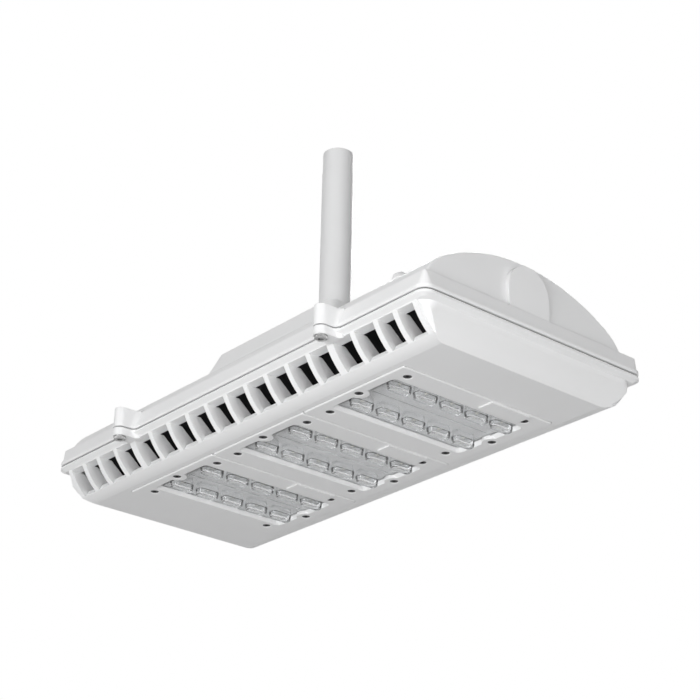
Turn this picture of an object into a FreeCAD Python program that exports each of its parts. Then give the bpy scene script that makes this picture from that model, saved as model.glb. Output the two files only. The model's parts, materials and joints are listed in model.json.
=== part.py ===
import FreeCAD
import Part
import math
import os

# Parking garage light that hangs on a stem: a vaulted upper housing with the electrical gear,
# and under it a finned door that carries three LED modules.
# Millimetres, Z up, X along the light. Heights are measured from the parting plane between
# the two castings; export() moves everything so that the stem's top end is the origin.

V = FreeCAD.Vector

# Outline shared by both castings
rim_length = 462.0
rim_width = 224.0
rim_corner = 9.4
parting_gap = 1.2
lip_edge = 0.8

# Upper housing: lip, bevel and vault
lip_top = 3.6
lip_ledge = 1.0
bevel_top = 15.2
bevel_inset = 4.0
bevel_corner = 1.5
vault_inset = 8.7
vault_height = 58.4
vault_side_radius = 40.0
vault_offset_y = -4.0
end_wall_lean = 0.07
end_wall_ledge = 3.3
end_wall_round = 2.0
upper_wall = 3.2
rim_wall = 9.0
pocket_corner = 5.0
pilaster_width = 41.0
pilaster_ledge = 1.1
pilaster_top = 53.5

# Hub pad and collar that take the stem
hub_top_length = 146.0
hub_top_width = 126.0
hub_height = 66.2
hub_slope = 0.40
hub_root = 30.0
hub_wall = 5.0
hub_corner = 6.0
collar_radius = 21.0
collar_height = 15.0

# Stem: three-quarter inch trade conduit
stem_radius = 13.35
stem_bore_radius = 10.45
stem_top = 252.0
stem_bottom = 50.0
stem_thread_radius = 13.0
stem_thread_length = 20.0
stem_clearance = 0.1
locknut_radius = 20.0
locknut_thickness = 4.0
stem_seal_radius = 19.0
stem_seal_thickness = 3.0
set_screw_radius = 3.0
set_screw_recess = 0.5
set_screw_socket_radius = 1.5
set_screw_socket_depth = 2.5

# Door casting: depth, side curve and end curve
door_depth = 28.8
door_lip_bottom = -3.0
shoulder_z = -5.0
shoulder_inset_side = 4.2
shoulder_inset_end = 5.5
shoulder_corner = 2.5
knee_inset_side = 20.1
knee_z = -25.6
bottom_inset_side = 31.3
bottom_inset_end = 15.9
side_bulge = 1.4
knee_bulge = 0.5
end_bulge = 3.3
cap_step = 3.0
cap_cove_z = -9.4
cap_cove = 0.6
cap_corner = 14.0
floor_thickness = 5.2

# Cooling slots between curved fins, on both long sides
fin_pitches_per_half = 7
outer_slot_pitch = 20.7
outer_slots_per_end = 2
outer_fin_inset = 14.95
fin_thickness = 4.8
latch_fin_thickness = 7.0
slot_top = -5.8
slot_bottom = -25.2
sill_top = -20.6
sill_inset = 22.5
sill_draft = 1.9

# Inside of the door, as distances in from the rim's long sides
cavity_top_inset = 13.6
cavity_step_inset = 17.0
cavity_knee_inset = 30.7
cavity_knee_z = -17.0
cavity_floor_inset = 31.5
cavity_end_wall = 7.0
cavity_end_lean = 0.30

# LED modules
module_end_margin = 44.85
module_side_margin = 5.1
module_gap = 0.8
bezel_thickness = 3.0
bezel_recess = 2.0
bezel_recess_gap = 0.4
bezel_corner = 2.0
bezel_edge = 0.8
window_inset_left = 22.3
window_inset_right = 19.3
window_inset_near = 8.6
window_inset_far = 11.1
window_flare = 2.4
window_corner = 4.0
window_boss_radius = 8.0
cable_pad_width = 14.8
cable_pad_length = 40.4
cable_pad_inset = 22.6
cable_pad_relief = 1.2
corner_screw_inset_left = 15.0
corner_screw_inset_right = 11.3
corner_screw_inset_near = 14.0
corner_screw_inset_far = 18.6
middle_screw_x = -0.8
middle_screw_inset = 7.6
module_screw_radius = 1.7
module_screw_mouth_radius = 3.8
module_screw_sink_depth = 1.7
module_screw_recess = 0.4
screw_clearance = 0.15

# Optics, board and heat sink of a module
lens_margin = 2.2
lens_base = 1.6
lens_notch_radius = 5.6
lens_row_inset_left = 17.7
lens_row_inset_right = 11.7
lens_row_end_margin = 13.75
lenses_per_row = 5
lens_gap = 9.0
lens_width = 8.0
lens_height = 5.4
lens_draft = 0.5
lens_corner = 3.2
lens_rib_width = 1.4
lens_rib_height = 0.3
board_thickness = 1.4
board_margin_x = 0.5
board_margin_y = 5.75
led_size = 3.5
led_height = 0.7
led_pocket = 4.6
led_pocket_depth = 0.9
gasket_slack = 0.4
sink_gap = 6.7
sink_margin = 1.1
sink_base = 4.0
sink_fin_height = 15.0
sink_fin_thickness = 2.0
sink_fins = 11

# Captive latch screws, their bosses above and their ears on the door
latch_inset_left = 109.0
latch_inset_right = 99.0
latch_reach = 9.0
latch_boss_radius = 5.7
latch_boss_top = 16.8
latch_root_radius = 3.5
latch_root_depth = 1.0
latch_ear_bottom = -7.0
latch_head_radius = 5.0
latch_head_height = 1.8
latch_head_edge = 0.5
latch_drive_across = 4.0
latch_drive_depth = 1.4
latch_shank_radius = 2.0
latch_thread_radius = 2.5
latch_thread_start = 4.7
latch_thread_end = 8.3
latch_hole_radius = 3.1
latch_hole_end = 10.5
latch_ear_clearance = 0.25
latch_well_depth = 4.0
latch_well_clearance = 0.4

# Hinge on the far long side
hinge_end_inset = 103.2
hinge_reach = 4.4
hinge_z = 3.2
knuckle_radius = 4.0
upper_knuckle_length = 14.0
door_knuckle_length = 8.0
knuckle_gap = 0.4
hinge_pin_radius = 2.0
hinge_pin_clearance = 0.08
hinge_pin_overhang = 1.0
hinge_arm_gap = 0.7

# Gasket in the parting gap
gasket_outer_inset = 2.2
gasket_width = 4.8
gasket_air = 0.2

# Gear tray, its posts and what is fixed on it
tray_bottom = 5.0
tray_thickness = 1.5
tray_margin = 13.0
tray_corner = 10.0
tray_post_radius = 5.0
tray_post_end_inset = 31.0
tray_post_side_inset = 27.0
tray_screw_radius = 2.0
tray_screw_head_radius = 3.9
tray_screw_head_height = 2.4
tray_screw_length = 9.0
driver_x = -108.0
driver_length = 147.0
driver_foot = 12.0
driver_foot_thickness = 2.5
driver_width = 62.0
driver_height = 36.0
driver_edge = 4.0
driver_screw_y = 21.0
surge_x = 62.0
surge_y = -40.0
surge_length = 55.0
surge_width = 35.0
surge_height = 28.0
surge_edge = 2.5
terminal_x = 66.0
terminal_y = 26.0
terminal_poles = 5
terminal_pole_pitch = 12.0
terminal_width = 22.0
terminal_height = 18.0
terminal_step = 7.0
terminal_mouth_radius = 2.4
terminal_screw_radius = 2.6
terminal_screw_height = 5.0
terminal_screw_sink = 1.3
terminal_screw_clearance = 0.1
terminal_top_width = 11.0
ground_x = 140.0
ground_y = 26.0
ground_head_radius = 5.0
ground_head_height = 4.0
ground_tail = 2.0
small_screw_radius = 1.9
small_screw_head_radius = 3.6
small_screw_head_height = 2.2

# Breather on the vault's near side
breather_x = 160.0
breather_y = -70.0
breather_radius = 6.0
breather_neck_radius = 4.0
breather_skirt = 3.6
breather_cap_radius = 3.6
breather_cap_height = 3.0
breather_neck_length = 8.0
breather_clearance = 0.1

# Values worked out from the sizes above
half_length = rim_length / 2
half_width = rim_width / 2
half_gap = parting_gap / 2

vault_half_width = half_width - vault_inset
side_centre_y = vault_half_width - vault_side_radius
crown_rise = vault_height - vault_side_radius
crown_radius = (side_centre_y ** 2 + vault_height ** 2 - vault_side_radius ** 2) / (2 * crown_rise)
crown_centre_z = vault_height - crown_radius
crown_half_angle = math.atan2(side_centre_y, -crown_centre_z)

bottom_half_length = half_length - bottom_inset_end
bottom_half_width = half_width - bottom_inset_side
sill_half_width = half_width - sill_inset
cavity_top_half_width = half_width - cavity_top_inset
cavity_step_half_width = half_width - cavity_step_inset
cavity_knee_half_width = half_width - cavity_knee_inset
cavity_floor_half_width = half_width - cavity_floor_inset
last_full_fin = half_length - outer_fin_inset - outer_slots_per_end * outer_slot_pitch
fin_pitch = last_full_fin / fin_pitches_per_half
fin_end = half_length - outer_fin_inset + fin_thickness / 2

floor_bottom = -door_depth
floor_top = floor_bottom + floor_thickness
bezel_back = floor_bottom + bezel_recess
bezel_face = bezel_back - bezel_thickness
lens_back = bezel_back + lens_base
board_front = floor_top - board_thickness
tray_top = tray_bottom + tray_thickness

module_names = ("left", "middle", "right")
module_pitch = 2 * (bottom_half_length - module_end_margin) / len(module_names)
module_centres = (-module_pitch, 0.0, module_pitch)
module_length = module_pitch - module_gap
module_width = 2 * (bottom_half_width - module_side_margin)
module_right = module_length / 2
module_far = module_width / 2
window_left = window_inset_left - module_right
window_right = module_right - window_inset_right
window_near = window_inset_near - module_far
window_far = module_far - window_inset_far
cable_pad_left = module_right - cable_pad_width
cable_pad_far = module_far - cable_pad_inset
corner_screws_x = (corner_screw_inset_left - module_right, module_right - corner_screw_inset_right)
corner_screws_y = (corner_screw_inset_near - module_far, module_far - corner_screw_inset_far)
middle_screw_y = module_far - middle_screw_inset
lens_rows_x = (window_left + lens_row_inset_left, window_right - lens_row_inset_right)
lens_pitch = (window_far - window_near - 2 * lens_row_end_margin) / (lenses_per_row - 1)
lens_length = lens_pitch - lens_gap
board_length = window_right - window_left - 2 * board_margin_x
board_width = window_far - window_near - 2 * board_margin_y
sink_length = module_length - sink_gap
sink_width = module_width - 2 * sink_margin

latch_places_x = (latch_inset_left - half_length, half_length - latch_inset_right)
latch_y = -half_width - latch_reach
hinge_x = half_length - hinge_end_inset
hinge_y = half_width + hinge_reach
tray_length = rim_length - 2 * tray_margin
tray_width = rim_width - 2 * tray_margin
tray_post_x = half_length - tray_post_end_inset
tray_post_y = vault_half_width - tray_post_side_inset
tray_posts_x = (-tray_post_x, 0.0, tray_post_x)
tray_posts_y = (vault_offset_y - tray_post_y, vault_offset_y + tray_post_y)


def rounded_rectangle(length, width, radius, z, x=0.0, y=0.0):
    """Level closed wire of four sides and four corner arcs."""
    a = length / 2
    b = width / 2
    c = radius * (1 - math.sqrt(0.5))
    corners = [
        (V(x + a, y + b - radius, z), V(x + a - c, y + b - c, z), V(x + a - radius, y + b, z)),
        (V(x - a + radius, y + b, z), V(x - a + c, y + b - c, z), V(x - a, y + b - radius, z)),
        (V(x - a, y - b + radius, z), V(x - a + c, y - b + c, z), V(x - a + radius, y - b, z)),
        (V(x + a - radius, y - b, z), V(x + a - c, y - b + c, z), V(x + a, y - b + radius, z)),
    ]
    edges = []
    for i, (start, middle, end) in enumerate(corners):
        edges.append(Part.Arc(start, middle, end).toShape())
        edges.append(Part.LineSegment(end, corners[(i + 1) % 4][0]).toShape())
    return Part.Wire(edges)


def slab(wire, height):
    """Solid between a level wire and its copy moved up by height."""
    return Part.Face(wire).extrude(V(0, 0, height))


def loft(wires, straight=True):
    """Solid through level wires, with straight or smooth sides."""
    return Part.makeLoft(wires, True, straight)


def block(x0, x1, y0, y1, z0, z1):
    """Box between two corners."""
    return Part.makeBox(x1 - x0, y1 - y0, z1 - z0, V(x0, y0, z0))


def rod(radius, x, y, z0, z1):
    """Upright cylinder between two heights."""
    return Part.makeCylinder(radius, z1 - z0, V(x, y, z0))


def rod_along_x(radius, y, z, x0, x1):
    """Level cylinder between two places along the light."""
    return Part.makeCylinder(radius, x1 - x0, V(x0, y, z), V(1, 0, 0))


def prism_along_x(outline, x0, x1):
    """Solid from a (y, z) polygon run along the light."""
    points = [V(x0, y, z) for y, z in outline]
    return Part.Face(Part.makePolygon(points + points[:1])).extrude(V(x1 - x0, 0, 0))


def prism_along_y(outline, y0, y1):
    """Solid from an (x, z) polygon run across the light."""
    points = [V(x, y0, z) for x, z in outline]
    return Part.Face(Part.makePolygon(points + points[:1])).extrude(V(0, y1 - y0, 0))


def tube(outer, inner, x, y, z0, z1):
    """Upright ring."""
    return rod(outer, x, y, z0, z1).cut(rod(inner, x, y, z0, z1))


def joined(shapes):
    """One solid from shapes that overlap."""
    return shapes[0].multiFuse(shapes[1:]).removeSplitter()


def vault_arch(wall):
    """Three-centred arch across the light as a closed wire, drawn in by a wall thickness."""
    def point(y, z):
        return V(-rim_length, vault_offset_y + y, z)

    foot = vault_half_width - wall
    side = vault_side_radius - wall
    crown = crown_radius - wall
    middle_angle = (math.pi / 2 - crown_half_angle) / 2
    middle_y = side_centre_y + side * math.cos(middle_angle)
    middle_z = side * math.sin(middle_angle)
    joint_y = crown * math.sin(crown_half_angle)
    joint_z = crown_centre_z + crown * math.cos(crown_half_angle)
    top = point(0, vault_height - wall)
    return Part.Wire([
        Part.Arc(point(foot, 0), point(middle_y, middle_z), point(joint_y, joint_z)).toShape(),
        Part.Arc(point(joint_y, joint_z), top, point(-joint_y, joint_z)).toShape(),
        Part.Arc(point(-joint_y, joint_z), point(-middle_y, middle_z), point(-foot, 0)).toShape(),
        Part.LineSegment(point(-foot, 0), point(foot, 0)).toShape(),
    ])


def vault_body(wall):
    """Barrel vault with leaning end walls, drawn in by a wall thickness."""
    barrel = Part.Face(vault_arch(wall)).extrude(V(2 * rim_length, 0, 0))
    return barrel.common(end_wall_prism(-wall, half_gap))


def rounded_vault():
    """Outside of the vault, with the crests of its end walls rounded off."""
    barrel = vault_body(0)
    crests = []
    for edge in barrel.Edges:
        if edge.BoundBox.XLength < half_length and edge.BoundBox.ZMax > bevel_top:
            crests.append(edge)
    return barrel.makeFillet(end_wall_round, crests)


def end_wall_prism(offset, z0):
    """Everything between the two leaning end walls, moved outward by an offset."""
    foot = half_length - bevel_inset - end_wall_ledge + offset
    base = foot + end_wall_lean * (bevel_top - z0)
    top = foot + end_wall_lean * (bevel_top - hub_height)
    outline = [(-base, z0), (base, z0), (top, hub_height), (-top, hub_height)]
    return prism_along_y(outline, -rim_width, rim_width)


def hub_body(wall):
    """Drafted pad on the crown of the vault, drawn in by a wall thickness."""
    top = hub_height - wall
    grow = 2 * hub_slope * (hub_height - hub_root)
    high = rounded_rectangle(hub_top_length - 2 * wall, hub_top_width - 2 * wall, hub_corner, top)
    low = rounded_rectangle(
        hub_top_length - 2 * wall + grow, hub_top_width - 2 * wall + grow, hub_corner, hub_root - wall
    )
    return loft([low, high])


def pilasters():
    """Upright arched panels that stand proud of both leaning end walls."""
    radius = pilaster_width / 2
    face_x = half_length - bevel_inset - pilaster_ledge
    spring = pilaster_top - radius
    foot = bevel_top - upper_wall
    arch = Part.Arc(
        V(-face_x, vault_offset_y - radius, spring),
        V(-face_x, vault_offset_y, pilaster_top),
        V(-face_x, vault_offset_y + radius, spring),
    ).toShape()
    sides = Part.makePolygon([
        V(-face_x, vault_offset_y + radius, spring),
        V(-face_x, vault_offset_y + radius, foot),
        V(-face_x, vault_offset_y - radius, foot),
        V(-face_x, vault_offset_y - radius, spring),
    ])
    return Part.Face(Part.Wire([arch] + sides.Edges)).extrude(V(2 * face_x, 0, 0))


def latch_outline(x, root_inset, back_inset, z):
    """Plan of a latch boss: half-round nose, straight sides and a flared root in the rim."""
    root = root_inset - half_width
    back = back_inset - half_width
    side = latch_boss_radius
    flare = latch_root_radius
    hollow = flare * (1 - math.sqrt(0.5))

    def point(offset, y):
        return V(x + offset, y, z)

    return Part.Wire([
        Part.Arc(point(side + flare, root), point(side + hollow, root - hollow),
                 point(side, root - flare)).toShape(),
        Part.LineSegment(point(side, root - flare), point(side, latch_y)).toShape(),
        Part.Arc(point(side, latch_y), point(0, latch_y - side), point(-side, latch_y)).toShape(),
        Part.LineSegment(point(-side, latch_y), point(-side, root - flare)).toShape(),
        Part.Arc(point(-side, root - flare), point(-side - hollow, root - hollow),
                 point(-side - flare, root)).toShape(),
        Part.LineSegment(point(-side - flare, root), point(-side - flare, back)).toShape(),
        Part.LineSegment(point(-side - flare, back), point(side + flare, back)).toShape(),
        Part.LineSegment(point(side + flare, back), point(side + flare, root)).toShape(),
    ])


def latch_boss(x):
    """Boss on the near rim over a captive screw, its root following the bevel."""
    back = bevel_inset + upper_wall
    return loft([
        latch_outline(x, 0, back, half_gap),
        latch_outline(x, bevel_inset, back, latch_boss_top),
    ])


def upper_knuckle(x):
    """Hinge knuckle of the upper housing, with its arm into the rim."""
    half = upper_knuckle_length / 2
    barrel = rod_along_x(knuckle_radius, hinge_y, hinge_z, x - half, x + half)
    arm = block(
        x - half, x + half, half_width - rim_wall, hinge_y, lip_top, hinge_z + knuckle_radius
    )
    return barrel.fuse(arm)


def rim_lip(parting, end):
    """Lip of a casting, from its bevelled edge at the parting gap to its other end."""
    step = math.copysign(lip_edge, end - parting)
    outer = rounded_rectangle(rim_length, rim_width, rim_corner, parting + step)
    inner = rounded_rectangle(
        rim_length - 2 * lip_edge, rim_width - 2 * lip_edge, rim_corner - lip_edge, parting
    )
    return slab(outer, end - parting - step).fuse(loft([inner, outer]))


def upper_housing():
    """Die-cast canopy: rim, bevel, vault, hub, bosses and knuckles over one open cavity."""
    bevel_low = rounded_rectangle(
        rim_length - 2 * lip_ledge, rim_width - 2 * lip_ledge, rim_corner - lip_ledge, lip_top
    )
    bevel_high = rounded_rectangle(
        rim_length - 2 * bevel_inset, rim_width - 2 * bevel_inset, bevel_corner, bevel_top
    )
    shell = joined([
        rim_lip(half_gap, lip_top),
        loft([bevel_low, bevel_high]),
        rounded_vault(),
        pilasters(),
        hub_body(0),
        rod(collar_radius, 0, 0, hub_height - hub_wall, hub_height + collar_height),
    ])

    pocket = slab(
        rounded_rectangle(rim_length - 2 * rim_wall, rim_width - 2 * rim_wall, pocket_corner, half_gap),
        bevel_top - upper_wall - half_gap,
    )
    cavity = joined([pocket, vault_body(upper_wall), hub_body(hub_wall)])
    posts = [
        rod(tray_post_radius, x, y, tray_top, hub_height).common(shell)
        for x in tray_posts_x for y in tray_posts_y
    ]
    bosses = [latch_boss(x) for x in latch_places_x]
    knuckles = [upper_knuckle(x) for x in (-hinge_x, hinge_x)]
    casting = joined([shell.cut(cavity)] + posts + bosses + knuckles)

    holes = [rod(stem_radius + stem_clearance, 0, 0, 0, hub_height + collar_height)]
    holes.append(set_screw_hole())
    holes.append(breather_hole())
    for x in latch_places_x:
        holes.append(rod(latch_hole_radius, x, latch_y, half_gap, latch_hole_end))
    for x in (-hinge_x, hinge_x):
        half = upper_knuckle_length / 2
        holes.append(rod_along_x(hinge_pin_radius, hinge_y, hinge_z, x - half, x + half))
    for x in tray_posts_x:
        for y in tray_posts_y:
            holes.append(rod(tray_screw_radius, x, y, tray_top, tray_top + tray_screw_length))
    return casting.cut(holes)


def set_screw_hole():
    """Radial hole in the collar, on its far side."""
    z = hub_height + collar_height / 2
    return Part.makeCylinder(set_screw_radius, collar_radius, V(0, 0, z), V(0, 1, 0))


def stem_set_screw():
    """Headless screw in the collar that keeps the stem from turning."""
    z = hub_height + collar_height / 2
    start = stem_radius + stem_clearance
    end = collar_radius - set_screw_recess
    screw = Part.makeCylinder(set_screw_radius, end - start, V(0, start, z), V(0, 1, 0))
    return screw.cut(hexagon_along_y(set_screw_socket_radius, end - set_screw_socket_depth, end, z))


def hexagon_along_y(flat_radius, y0, y1, z):
    """Hexagonal bar across the light, by half its width across flats."""
    reach = flat_radius / math.cos(math.pi / 6)
    outline = []
    for i in range(6):
        angle = i * math.pi / 3
        outline.append((reach * math.cos(angle), z + reach * math.sin(angle)))
    return prism_along_y(outline, y0, y1)


def hexagon(flat_radius, x, y, z0, z1):
    """Upright hexagonal bar, by half its width across flats."""
    reach = flat_radius / math.cos(math.pi / 6)
    points = []
    for i in range(6):
        angle = i * math.pi / 3
        points.append(V(x + reach * math.cos(angle), y + reach * math.sin(angle), z0))
    return slab(Part.makePolygon(points + points[:1]), z1 - z0)


def stem_pipe():
    """Rigid conduit stem, a little thinner where its top end is threaded."""
    shoulder = stem_top - stem_thread_length
    pipe = rod(stem_radius, 0, 0, stem_bottom, shoulder)
    thread = rod(stem_thread_radius, 0, 0, shoulder, stem_top)
    return pipe.fuse(thread).cut(rod(stem_bore_radius, 0, 0, stem_bottom, stem_top))


def stem_locknut():
    """Hexagonal locknut on the stem under the hub."""
    top = hub_height - hub_wall
    nut = hexagon(locknut_radius, 0, 0, top - locknut_thickness, top)
    return nut.cut(rod(stem_radius + stem_clearance, 0, 0, top - locknut_thickness, top))


def stem_seal():
    """Rubber ring on top of the collar."""
    bottom = hub_height + collar_height
    return tube(
        stem_seal_radius, stem_radius + stem_clearance, 0, 0, bottom, bottom + stem_seal_thickness
    )


def breather_frame():
    """Point on the vault's crown under the breather and the outward direction there."""
    y = breather_y - vault_offset_y
    rise = math.sqrt(crown_radius ** 2 - y ** 2)
    return V(breather_x, breather_y, crown_centre_z + rise), V(0, y, rise).normalize()


def breather_hole():
    """Hole through the vault for the breather's neck."""
    seat, outward = breather_frame()
    start = seat - outward * breather_neck_length
    return Part.makeCylinder(breather_neck_radius, 2 * breather_neck_length, start, outward)


def breather():
    """Pressure vent: neck, round skirt and a bevelled cap."""
    seat, outward = breather_frame()
    skirt = Part.makeCylinder(breather_radius, breather_skirt)
    cap = Part.makeCone(breather_radius, breather_cap_radius, breather_cap_height, V(0, 0, breather_skirt))
    neck = Part.makeCylinder(
        breather_neck_radius - breather_clearance, breather_neck_length, V(0, 0, -breather_neck_length)
    )
    plug = joined([skirt, cap, neck])
    plug.Placement = FreeCAD.Placement(seat, FreeCAD.Rotation(V(0, 0, 1), outward))
    return plug


def bowed(start, end, bulge):
    """Middle of an arc between two (inset, z) points that bulges out and down."""
    run = end[0] - start[0]
    rise = end[1] - start[1]
    length = math.hypot(run, rise)
    inset = (start[0] + end[0]) / 2 + bulge * rise / length
    return inset, (start[1] + end[1]) / 2 - bulge * run / length


def bowl(half, stops, bulges, place, along):
    """Solid with bowed sides through (inset, z) stops on both sides, run along a direction."""
    edges = []
    for side in (-1, 1):
        for start, end, bulge in zip(stops, stops[1:], bulges):
            points = [place(side * (half - inset), z) for inset, z in (start, bowed(start, end, bulge), end)]
            edges.append(Part.Arc(*points).toShape())
    for inset, z in (stops[0], stops[-1]):
        edges.append(Part.LineSegment(place(inset - half, z), place(half - inset, z)).toShape())
    return Part.Face(Part.Wire(Part.__sortEdges__(edges))).extrude(along)


def door_tub():
    """Lip, cove and bulging sides of the door as one full block."""
    cove = loft([
        rounded_rectangle(rim_length - 2 * shoulder_inset_end, rim_width - 2 * shoulder_inset_side,
                          shoulder_corner, shoulder_z),
        rounded_rectangle(rim_length, rim_width, rim_corner, door_lip_bottom),
    ])
    shoulder = (shoulder_inset_side, shoulder_z)
    bottom = (bottom_inset_side, floor_bottom)
    finned = bowl(
        half_width, [shoulder, (knee_inset_side, knee_z), bottom], [side_bulge, knee_bulge],
        lambda y, z: V(-fin_end, y, z), V(2 * fin_end, 0, 0),
    )
    lengthwise = bowl(
        half_length, [(shoulder_inset_end, shoulder_z), (bottom_inset_end, floor_bottom)], [end_bulge],
        lambda x, z: V(x, -rim_width, z), V(0, 2 * rim_width, 0),
    )
    body = finned.fuse(end_caps(shoulder, bottom)).common(lengthwise)
    return joined([rim_lip(-half_gap, door_lip_bottom), cove, body])


def end_caps(shoulder, bottom):
    """Ends of the door past the last fins: narrower than the fins and round at the corners."""
    run = (knee_inset_side - shoulder_inset_side) / (knee_z - shoulder_z)
    cove_inset = shoulder_inset_side + run * (cap_cove_z - shoulder_z) + cap_step
    stops = [shoulder, (cove_inset, cap_cove_z), (knee_inset_side + cap_step, knee_z), bottom]
    narrow = bowl(
        half_width, stops, [-cap_cove, side_bulge, knee_bulge],
        lambda y, z: V(-rim_length, y, z), V(2 * rim_length, 0, 0),
    )
    outline = rounded_rectangle(
        rim_length - 2 * shoulder_inset_end, rim_width - 2 * shoulder_inset_side, cap_corner, floor_bottom
    )
    return narrow.common(slab(outline, shoulder_z - floor_bottom))


def door_cavity():
    """Open inside of the door above its floor."""
    section = []
    for side in (-1, 1):
        half = [
            (side * cavity_floor_half_width, floor_top),
            (side * cavity_knee_half_width, cavity_knee_z),
            (side * cavity_step_half_width, slot_top),
            (side * cavity_top_half_width, slot_top),
            (side * cavity_top_half_width, 0),
        ]
        section += half if side < 0 else half[::-1]
    top_half = half_length - shoulder_inset_end - cavity_end_wall
    low_half = top_half + cavity_end_lean * floor_top
    ends = [(-low_half, floor_top), (-top_half, 0), (top_half, 0), (low_half, floor_top)]
    room = prism_along_x(section, -half_length, half_length)
    return room.common(prism_along_y(ends, -rim_width, rim_width))


def fin_edges():
    """Left and right edge of every fin along one side, from the left end."""
    centres = [fin_pitch * i for i in range(-fin_pitches_per_half, fin_pitches_per_half + 1)]
    for _ in range(outer_slots_per_end):
        centres = [centres[0] - outer_slot_pitch] + centres + [centres[-1] + outer_slot_pitch]
    edges = []
    for centre in centres:
        under_latch = min(abs(centre - x) for x in latch_places_x) < fin_pitch / 2
        half = (latch_fin_thickness if under_latch else fin_thickness) / 2
        edges.append((centre - half, centre + half))
    return edges


def cooling_slots():
    """Cutters for the slots between the fins of both long sides."""
    cutters = []
    edges = fin_edges()
    for side in (-1, 1):
        outline = [
            (side * rim_width, slot_top),
            (side * rim_width, slot_bottom),
            (side * (sill_half_width + sill_draft), slot_bottom),
            (side * sill_half_width, sill_top),
            (side * cavity_floor_half_width, sill_top),
            (side * cavity_floor_half_width, slot_top),
        ]
        for (_, left), (right, _) in zip(edges, edges[1:]):
            cutters.append(prism_along_x(outline, left, right))
    return cutters


def latch_ear(x):
    """Ear on the door's near lip, under the boss, that holds a captive screw."""
    back = shoulder_inset_side + latch_root_depth
    return loft([
        latch_outline(x, shoulder_inset_side, back, latch_ear_bottom),
        latch_outline(x, 0, back, -half_gap),
    ])


def door_knuckles(x):
    """Pair of hinge knuckles of the door, with arms up from its far lip."""
    pieces = []
    inner = upper_knuckle_length / 2 + knuckle_gap
    for side in (-1, 1):
        x0, x1 = sorted((x + side * inner, x + side * (inner + door_knuckle_length)))
        barrel = rod_along_x(knuckle_radius, hinge_y, hinge_z, x0, x1)
        arm = block(
            x0, x1, half_width + hinge_arm_gap, hinge_y + knuckle_radius, -half_gap, hinge_z
        )
        root = block(
            x0, x1, half_width - shoulder_inset_side, hinge_y + knuckle_radius,
            door_lip_bottom, -half_gap,
        )
        pieces += [barrel, arm, root]
    return pieces


def module_opening(x, slack):
    """Outline of the lens opening of a module as a cutter, with notches for two screws."""
    left = x + window_left - lens_margin - slack
    right = x + window_right + lens_margin + slack
    near = window_near - lens_margin - slack
    far = window_far + lens_margin + slack
    opening = slab(
        rounded_rectangle(
            right - left, far - near, window_corner, bezel_back, (left + right) / 2, (near + far) / 2
        ),
        floor_top - bezel_back,
    )
    notches = [
        rod(lens_notch_radius - slack, x + middle_screw_x, y, bezel_back, floor_top)
        for y in (-middle_screw_y, middle_screw_y)
    ]
    return opening.cut(notches)


def module_screw_places(x):
    """Where the six screws of a module stand."""
    places = [(x + dx, y) for dx in corner_screws_x for y in corner_screws_y]
    places.append((x + middle_screw_x, -middle_screw_y))
    places.append((x + middle_screw_x, middle_screw_y))
    return places


def lower_housing():
    """Door casting: finned tub with three module openings, two ears and two hinge pairs."""
    body = door_tub().cut(door_cavity()).cut(cooling_slots())
    additions = [latch_ear(x) for x in latch_places_x]
    for x in (-hinge_x, hinge_x):
        additions += door_knuckles(x)
    body = joined([body] + additions)

    cuts = [
        slab(
            rounded_rectangle(
                2 * module_pitch + module_length + 2 * bezel_recess_gap,
                module_width + 2 * bezel_recess_gap, bezel_corner, floor_bottom,
            ),
            bezel_recess,
        )
    ]
    for x in module_centres:
        cuts.append(module_opening(x, gasket_slack))
        for sx, sy in module_screw_places(x):
            cuts.append(rod(module_screw_radius + screw_clearance, sx, sy, bezel_back, floor_top))
    for x in latch_places_x:
        hole = latch_shank_radius + latch_ear_clearance
        well = latch_thread_radius + latch_well_clearance
        cuts.append(rod(hole, x, latch_y, latch_ear_bottom, -half_gap))
        cuts.append(rod(well, x, latch_y, -half_gap - latch_well_depth, -half_gap))
    reach = upper_knuckle_length / 2 + knuckle_gap + door_knuckle_length
    for x in (-hinge_x, hinge_x):
        radius = hinge_pin_radius + hinge_pin_clearance
        cuts.append(rod_along_x(radius, hinge_y, hinge_z, x - reach, x + reach))
    return body.cut(cuts)


def hinge_pins():
    """Two hinge pins, fixed in the upper knuckles."""
    reach = upper_knuckle_length / 2 + knuckle_gap + door_knuckle_length + hinge_pin_overhang
    return Part.makeCompound([
        rod_along_x(hinge_pin_radius, hinge_y, hinge_z, x - reach, x + reach)
        for x in (-hinge_x, hinge_x)
    ])


def rim_gasket():
    """Rubber ring under the upper rim, that the door closes against."""
    length = rim_length - 2 * gasket_outer_inset
    width = rim_width - 2 * gasket_outer_inset
    corner = rim_corner - gasket_outer_inset
    bottom = gasket_air - half_gap
    ring = slab(rounded_rectangle(length, width, corner, bottom), half_gap - bottom)
    hole = slab(
        rounded_rectangle(length - 2 * gasket_width, width - 2 * gasket_width,
                          corner - gasket_width, bottom),
        half_gap - bottom,
    )
    return ring.cut(hole)


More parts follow.
